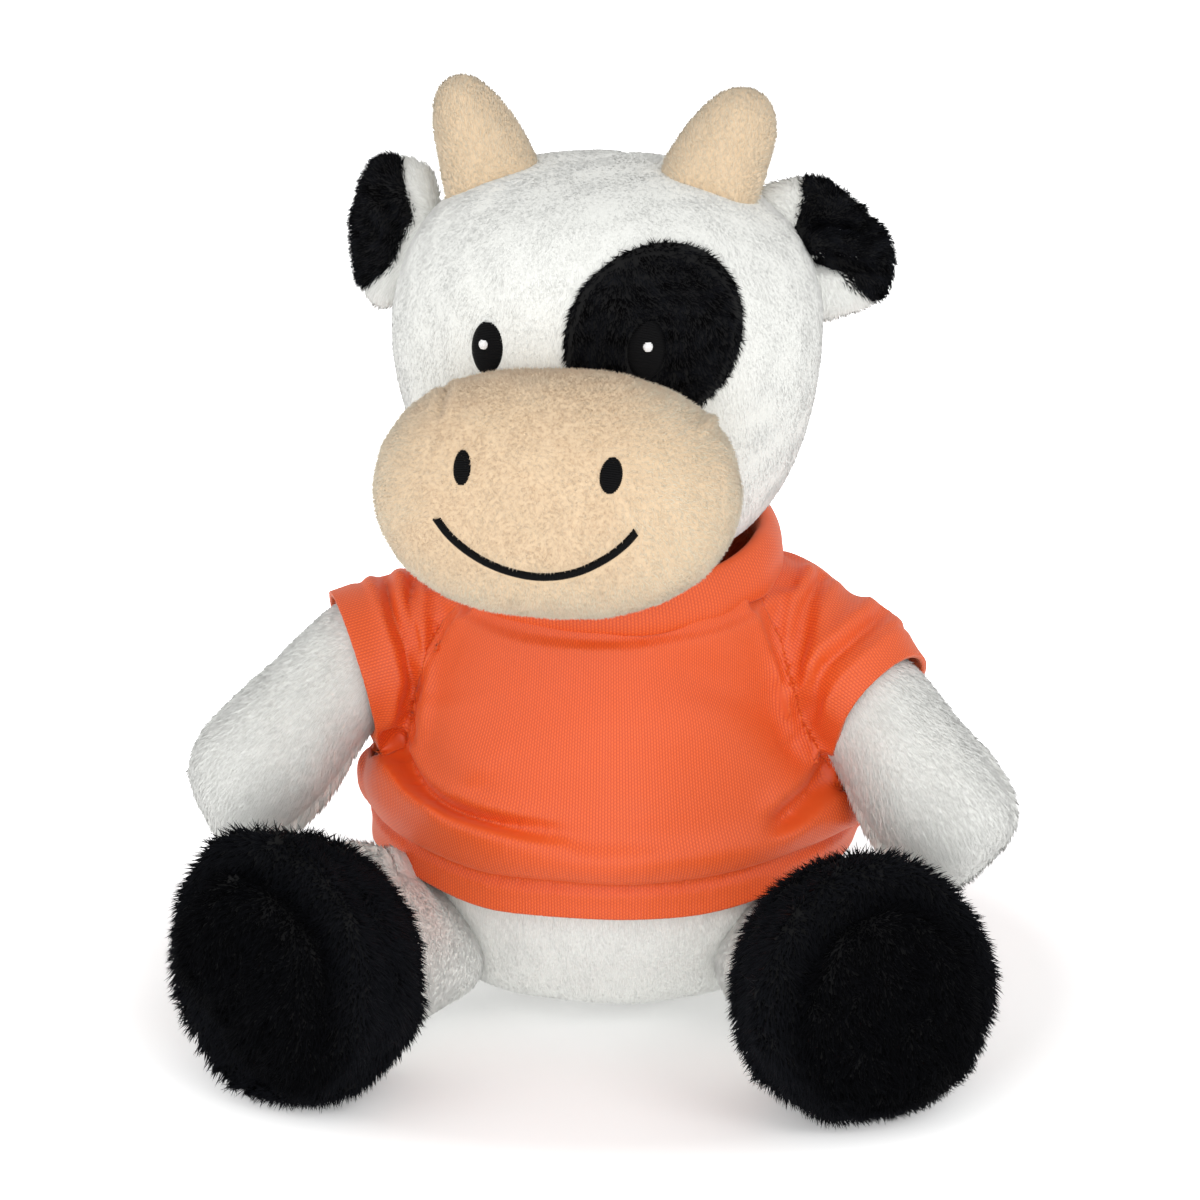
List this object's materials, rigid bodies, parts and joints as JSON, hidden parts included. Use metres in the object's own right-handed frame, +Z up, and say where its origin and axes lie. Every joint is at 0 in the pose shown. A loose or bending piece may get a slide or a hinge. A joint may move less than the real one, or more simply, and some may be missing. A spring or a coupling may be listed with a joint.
{
  "type": "plush cow",
  "caption": "Sitting plush cow with stuffed limbs, horns, folded ears, a wide peach muzzle, a black eye patch and a knitted orange shirt.",
  "frame": {"origin": "centre of the flat of the seat, where the toy sits on the floor", "axes": "+Z up through the head, -Y the way the body faces, +X the toy's own left"},
  "size_m": [0.1539, 0.1451, 0.1747],
  "materials": {
    "white_plush": "short cut pile, about 2 mm",
    "black_plush": "short cut pile, about 2 mm",
    "black_long_plush": "long pile, about 5 mm",
    "peach_plush": "very short velvety pile",
    "orange_knit": "fine jersey knit with a soft sheen",
    "fibre_filling": "loose polyester fibre",
    "pellet_bag": "plain woven bag with pellets",
    "black_thread": "satin stitch",
    "white_thread": "satin stitch"
  },
  "bodies": {
    "torso": {"torso_skin": "white_plush", "torso_filling": "fibre_filling", "pellet_bag": "pellet_bag", "shirt_front": "orange_knit", "shirt_back": "orange_knit", "sleeve_left": "orange_knit", "sleeve_right": "orange_knit", "collar": "orange_knit"},
    "neck": {"neck_wad": "fibre_filling"},
    "head": {"head_skin": "white_plush", "head_filling": "fibre_filling", "muzzle_skin": "peach_plush", "muzzle_filling": "fibre_filling", "horn_left_skin": "peach_plush", "horn_left_filling": "fibre_filling", "horn_right_skin": "peach_plush", "horn_right_filling": "fibre_filling", "eye_patch": "black_plush", "eye_left": "black_thread", "eye_right": "black_thread", "eye_glint_left": "white_thread", "eye_glint_right": "white_thread", "nostril_left": "black_thread", "nostril_right": "black_thread", "smile_stitch": "black_thread"},
    "ear_left": {"ear_left_front": "black_plush", "ear_left_back": "white_plush"},
    "ear_right": {"ear_right_front": "black_plush", "ear_right_back": "white_plush"},
    "arm_left": {"arm_left_skin": "white_plush", "arm_left_filling": "fibre_filling"},
    "arm_right": {"arm_right_skin": "white_plush", "arm_right_filling": "fibre_filling"},
    "leg_left": {"leg_left_skin": "white_plush", "leg_left_filling": "fibre_filling", "foot_left_skin": "black_long_plush", "foot_left_sole": "black_long_plush", "foot_left_filling": "fibre_filling"},
    "leg_right": {"leg_right_skin": "white_plush", "leg_right_filling": "fibre_filling", "foot_right_skin": "black_long_plush", "foot_right_sole": "black_long_plush", "foot_right_filling": "fibre_filling"},
    "tail": {"tail_cord": "white_plush", "tail_tuft": "black_plush"}
  },
  "joints": [
    {"name": "neck_turn", "type": "hinge", "parent": "torso", "child": "neck", "pos_m": [0, 0, 0.084], "axis": [0, 0, 1], "range_deg": [-20, 20], "stiffness_Nm_per_rad": 0.3, "deforming": ["collar"]},
    {"name": "neck_nod", "type": "hinge", "parent": "neck", "child": "head", "pos_m": [0, 0, 0.084], "axis": [0.9962, -0.0872, 0], "range_deg": [-8, 12], "stiffness_Nm_per_rad": 0.6, "deforming": ["collar", "shirt_front"]},
    {"name": "ear_left_flap", "type": "hinge", "parent": "head", "child": "ear_left", "pos_m": [0.0344, 0.0035, 0.1432], "axis": [0.2258, -0.0198, 0.974], "range_deg": [-20, 12], "stiffness_Nm_per_rad": 0.003},
    {"name": "ear_right_flap", "type": "hinge", "parent": "head", "child": "ear_right", "pos_m": [-0.0333, 0.0094, 0.1432], "axis": [0.2258, -0.0198, -0.974], "range_deg": [-20, 12], "stiffness_Nm_per_rad": 0.003},
    {"name": "shoulder_left", "type": "hinge", "parent": "torso", "child": "arm_left", "pos_m": [0.0315, -0.002, 0.0665], "axis": [-0.4384, -0.8988, 0], "range_deg": [0, 75], "stiffness_Nm_per_rad": 0.08, "deforming": ["sleeve_left", "shirt_front", "shirt_back"]},
    {"name": "shoulder_right", "type": "hinge", "parent": "torso", "child": "arm_right", "pos_m": [-0.0315, -0.002, 0.0665], "axis": [-0.4384, 0.8988, 0], "range_deg": [0, 75], "stiffness_Nm_per_rad": 0.08, "deforming": ["sleeve_right", "shirt_front", "shirt_back"]},
    {"name": "hip_left", "type": "hinge", "parent": "torso", "child": "leg_left", "pos_m": [0.032, -0.0225, 0.0131], "axis": [-1, 0, 0], "range_deg": [-15, 20], "stiffness_Nm_per_rad": 0.15, "deforming": ["shirt_front"]},
    {"name": "hip_right", "type": "hinge", "parent": "torso", "child": "leg_right", "pos_m": [-0.032, -0.0225, 0.0131], "axis": [-1, 0, 0], "range_deg": [-15, 20], "stiffness_Nm_per_rad": 0.15, "deforming": ["shirt_front"]},
    {"name": "tail_swing", "type": "hinge", "parent": "torso", "child": "tail", "pos_m": [0, 0.036, 0.019], "axis": [0, 0, 1], "range_deg": [-30, 30], "stiffness_Nm_per_rad": 0.002}
  ]
}
